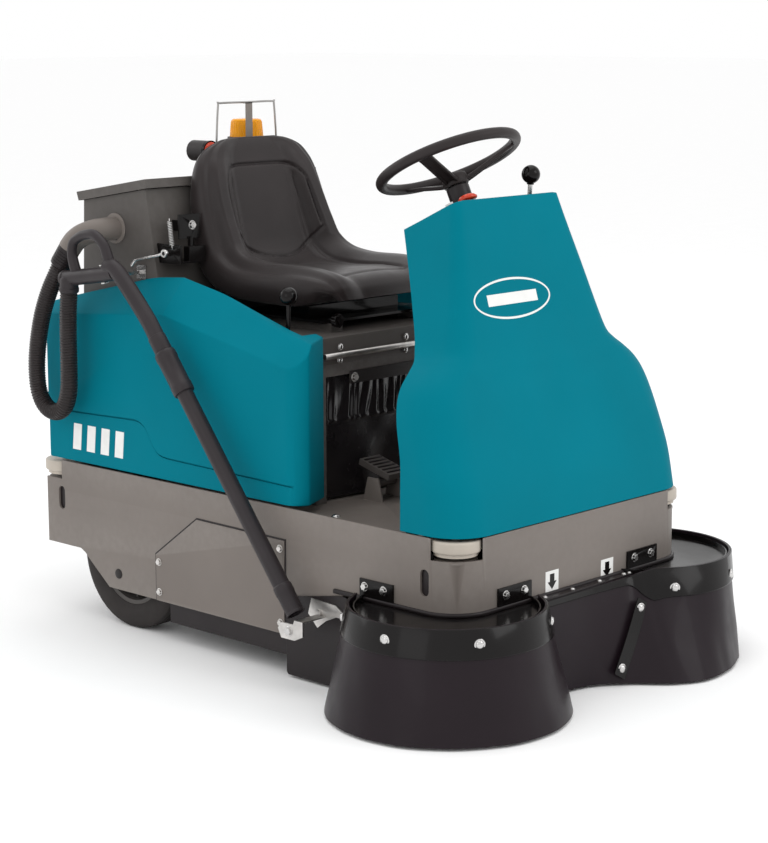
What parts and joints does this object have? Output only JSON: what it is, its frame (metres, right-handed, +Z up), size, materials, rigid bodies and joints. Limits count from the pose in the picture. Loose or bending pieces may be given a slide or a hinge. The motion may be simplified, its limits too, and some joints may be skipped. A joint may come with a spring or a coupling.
{
  "type": "ride-on floor sweeper",
  "caption": "Battery ride-on floor sweeper with a moulded front shroud, seat over a battery bay, rear filter box, vacuum wand, skirted side brushes and corner rollers.",
  "frame": {"origin": "on the floor, under the middle of the bounding box without its hose", "axes": "+Z up; the machine faces -Y; -X is the operator's right"},
  "size_m": [1.1456, 1.584, 1.2442],
  "materials": {
    "amber_lens": "clear moulded",
    "battery_case": "satin",
    "black_paint": "gloss paint",
    "black_plastic": "satin",
    "black_rubber": "smooth, slightly glossy",
    "black_vinyl": "moulded vinyl, satin",
    "bristle": "bristles",
    "cream_nylon": "satin",
    "dark_grey_paint": "satin paint",
    "filter_paper": "pleated paper",
    "grey_paint": "semi-gloss paint",
    "red_plastic": "gloss",
    "teal_moulding": "moulded, low gloss",
    "tyre_rubber": "matt",
    "zinc": "zinc plated"
  },
  "bodies": {
    "chassis": {"main_frame": "grey_paint", "access_panel": "grey_paint", "side_cover_right": "teal_moulding", "side_cover_left": "teal_moulding", "front_shroud": "teal_moulding", "dash_panel": "black_plastic", "steering_column": "black_plastic", "front_bulkhead": "dark_grey_paint", "deck_hinge": "zinc", "battery_curtain": "black_vinyl", "battery_tray": "dark_grey_paint", "battery_right": "battery_case", "battery_left": "battery_case", "filter_box": "grey_paint", "rod_bracket": "black_paint", "panel_filter": "filter_paper", "suction_fan": "black_plastic", "port_elbow": "grey_paint", "hose_cuff": "black_rubber", "hose": "black_rubber", "wand_clip": "zinc", "wand_bracket": "zinc", "side_flap_right": "black_rubber", "side_flap_left": "black_rubber", "brush_skirt": "black_rubber", "guard_plate_right": "black_paint", "guard_plate_left": "black_paint", "guard_skirt_right": "black_rubber", "guard_skirt_left": "black_rubber"},
    "steering_wheel": {"steering_wheel": "black_plastic"},
    "stop_button": {"stop_button": "red_plastic"},
    "ignition_key": {"ignition_key": "zinc"},
    "side_brush_lever": {"side_brush_lever": "black_plastic"},
    "steering_fork": {"steering_fork": "black_paint"},
    "front_wheel": {"front_wheel": "tyre_rubber"},
    "rear_wheel_right": {"rear_wheel_right": "tyre_rubber"},
    "rear_wheel_left": {"rear_wheel_left": "tyre_rubber"},
    "bumper_front_right": {"bumper_front_right": "cream_nylon"},
    "bumper_front_left": {"bumper_front_left": "cream_nylon"},
    "bumper_rear_right": {"bumper_rear_right": "cream_nylon"},
    "bumper_rear_left": {"bumper_rear_left": "cream_nylon"},
    "drive_pedal": {"drive_pedal": "dark_grey_paint"},
    "lift_lever": {"lift_lever": "black_plastic"},
    "main_brush_arm": {"brush_arm": "black_paint"},
    "main_brush": {"main_brush": "bristle"},
    "side_brush_arm_right": {"brush_arm_right": "black_paint"},
    "side_brush_arm_left": {"brush_arm_left": "black_paint"},
    "side_brush_right": {"side_brush_right": "bristle"},
    "side_brush_left": {"side_brush_left": "bristle"},
    "seat_deck": {"seat_deck": "grey_paint"},
    "seat": {"seat_pan": "black_paint", "seat": "black_vinyl"},
    "filter_lid": {"filter_lid": "grey_paint", "beacon_base": "black_plastic", "beacon_lens": "amber_lens", "beacon_guard": "zinc"},
    "prop_rod": {"prop_rod": "zinc"},
    "hopper": {"hopper": "black_plastic"},
    "wand": {"wand_handle": "black_plastic", "wand_tube": "black_plastic"}
  },
  "joints": [
    {"name": "steering_wheel_turn", "type": "hinge", "parent": "chassis", "child": "steering_wheel", "pos_m": [0.03785, -0.2, 1.125], "axis": [0, 0.4384, 0.8988], "range_deg": [-150, 150]},
    {"name": "front_wheel_steer", "type": "hinge", "parent": "chassis", "child": "steering_fork", "pos_m": [0.03785, -0.286, 0.3], "axis": [0, 0, 1], "range_deg": [-60, 60]},
    {"name": "front_wheel_roll", "type": "hinge", "parent": "steering_fork", "child": "front_wheel", "pos_m": [0.03785, -0.286, 0.125], "axis": [1, 0, 0], "continuous": true},
    {"name": "rear_wheel_roll_right", "type": "hinge", "parent": "chassis", "child": "rear_wheel_right", "pos_m": [-0.30415, 0.48, 0.17], "axis": [1, 0, 0], "continuous": true},
    {"name": "rear_wheel_roll_left", "type": "hinge", "parent": "chassis", "child": "rear_wheel_left", "pos_m": [0.37985, 0.48, 0.17], "axis": [1, 0, 0], "continuous": true},
    {"name": "bumper_roll_front_right", "type": "hinge", "parent": "chassis", "child": "bumper_front_right", "pos_m": [-0.30465, -0.5285, 0.361], "axis": [0, 0, 1], "continuous": true},
    {"name": "bumper_roll_front_left", "type": "hinge", "parent": "chassis", "child": "bumper_front_left", "pos_m": [0.38035, -0.5285, 0.361], "axis": [0, 0, 1], "continuous": true},
    {"name": "bumper_roll_rear_right", "type": "hinge", "parent": "chassis", "child": "bumper_rear_right", "pos_m": [-0.31415, 0.738, 0.361], "axis": [0, 0, 1], "continuous": true},
    {"name": "bumper_roll_rear_left", "type": "hinge", "parent": "chassis", "child": "bumper_rear_left", "pos_m": [0.38985, 0.738, 0.361], "axis": [0, 0, 1], "continuous": true},
    {"name": "stop_button_press", "type": "slide", "parent": "chassis", "child": "stop_button", "axis": [0, -0.4143, -0.9101], "range_m": [0, 0.006], "stiffness_N_per_m": 600},
    {"name": "ignition_key_turn", "type": "hinge", "parent": "chassis", "child": "ignition_key", "pos_m": [-0.05215, -0.296, 1.01191], "axis": [0, -0.4143, -0.9101], "range_deg": [0, 60]},
    {"name": "side_brush_lever_tilt", "type": "hinge", "parent": "chassis", "child": "side_brush_lever", "pos_m": [0.17385, -0.318, 0.96], "axis": [1, 0, 0], "range_deg": [-16, 0]},
    {"name": "side_brush_lift_right", "type": "hinge", "parent": "chassis", "child": "side_brush_arm_right", "pos_m": [-0.29715, -0.286, 0.161], "axis": [1, 0, 0], "range_deg": [0, 4]},
    {"name": "side_brush_lift_left", "type": "hinge", "parent": "chassis", "child": "side_brush_arm_left", "pos_m": [0.37285, -0.286, 0.161], "axis": [1, 0, 0], "range_deg": [0, 4]},
    {"name": "side_brush_spin_right", "type": "hinge", "parent": "side_brush_arm_right", "child": "side_brush_right", "pos_m": [-0.29715, -0.506, 0.09], "axis": [0, 0, 1], "continuous": true},
    {"name": "side_brush_spin_left", "type": "hinge", "parent": "side_brush_arm_left", "child": "side_brush_left", "pos_m": [0.37285, -0.506, 0.09], "axis": [0, 0, 1], "continuous": true},
    {"name": "lift_lever_tilt", "type": "hinge", "parent": "chassis", "child": "lift_lever", "pos_m": [-0.26815, 0.01, 0.505], "axis": [1, 0, 0], "range_deg": [0, 12]},
    {"name": "main_brush_lift", "type": "hinge", "parent": "chassis", "child": "main_brush_arm", "pos_m": [0.03785, -0.054, 0.255], "axis": [1, 0, 0], "range_deg": [-6, 0]},
    {"name": "main_brush_spin", "type": "hinge", "parent": "main_brush_arm", "child": "main_brush", "pos_m": [0.03785, 0.144, 0.165], "axis": [1, 0, 0], "continuous": true},
    {"name": "drive_pedal_rock", "type": "hinge", "parent": "chassis", "child": "drive_pedal", "pos_m": [-0.08215, -0.116, 0.405], "axis": [1, 0, 0], "range_deg": [-12, 12], "stiffness_Nm_per_rad": 1.5},
    {"name": "seat_deck_tilt", "type": "hinge", "parent": "chassis", "child": "seat_deck", "pos_m": [0.03785, -0.0675, 0.7], "axis": [1, 0, 0], "range_deg": [0, 25]},
    {"name": "seat_slide", "type": "slide", "parent": "seat_deck", "child": "seat", "axis": [0, 1, 0], "range_m": [-0.03, 0]},
    {"name": "filter_lid_open", "type": "hinge", "parent": "chassis", "child": "filter_lid", "pos_m": [0.03785, 0.693, 1.027], "axis": [1, 0, 0], "range_deg": [-70, 0]},
    {"name": "prop_rod_swing", "type": "hinge", "parent": "chassis", "child": "prop_rod", "pos_m": [-0.30415, 0.372, 0.9065], "axis": [1, 0, 0], "range_deg": [0, 70]},
    {"name": "hopper_slide", "type": "slide", "parent": "chassis", "child": "hopper", "axis": [0, 1, 0], "range_m": [0, 0.45]},
    {"name": "wand_swing", "type": "hinge", "parent": "chassis", "child": "wand", "pos_m": [-0.41215, 0.592, 0.82], "axis": [0, 0, -1], "range_deg": [0, 10]}
  ],
  "couplings": [
    {"joint": "front_wheel_steer", "follows": "steering_wheel_turn", "ratio": 0.4},
    {"joint": "side_brush_lift_right", "follows": "side_brush_lever_tilt", "ratio": -0.25},
    {"joint": "side_brush_lift_left", "follows": "side_brush_lever_tilt", "ratio": -0.25},
    {"joint": "main_brush_lift", "follows": "lift_lever_tilt", "ratio": -0.5}
  ]
}
